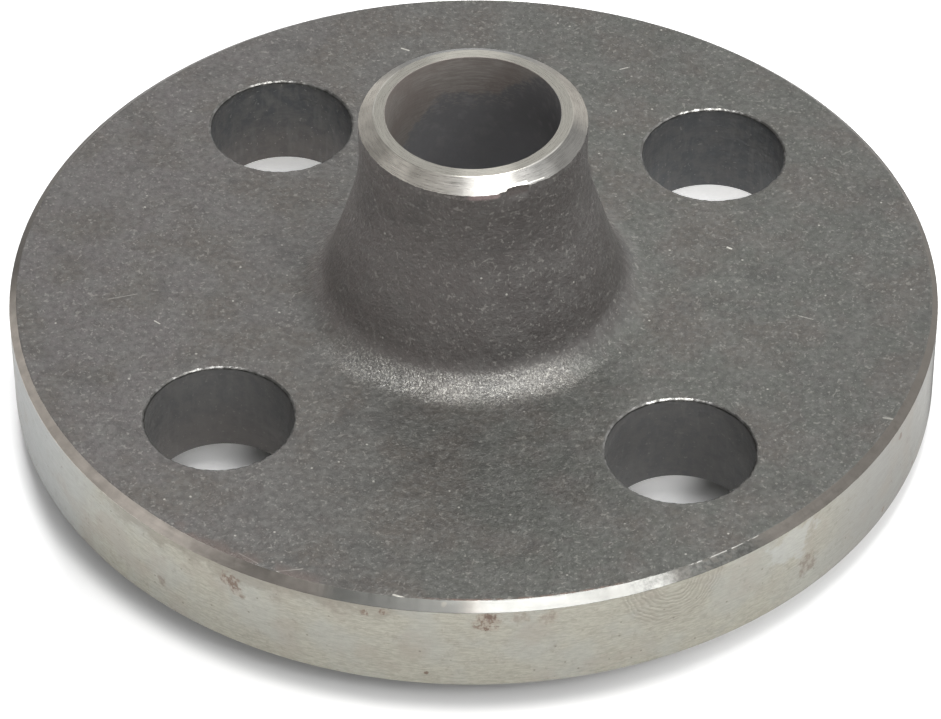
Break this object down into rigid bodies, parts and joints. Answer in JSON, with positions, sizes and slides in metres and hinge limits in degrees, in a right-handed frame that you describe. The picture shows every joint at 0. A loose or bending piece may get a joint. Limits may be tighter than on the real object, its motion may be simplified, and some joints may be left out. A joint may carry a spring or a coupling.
{
  "type": "weld neck flange",
  "caption": "Forged steel weld neck flange: round plate with bolt holes and raised gasket face, and a tapered neck bevelled for butt welding to a pipe.",
  "frame": {"origin": "centre of the raised gasket face, on which the flange rests", "axes": "+Z along the bore towards the weld end; the bolt holes straddle the X and Y axes"},
  "size_m": [0.095, 0.095, 0.035],
  "materials": {
    "forged_steel": "dark shot-blasted forging skin, with rim, weld end, bore and gasket face turned bright"
  },
  "bodies": {
    "root": {"weld_neck_flange": "forged_steel"}
  },
  "joints": []
}
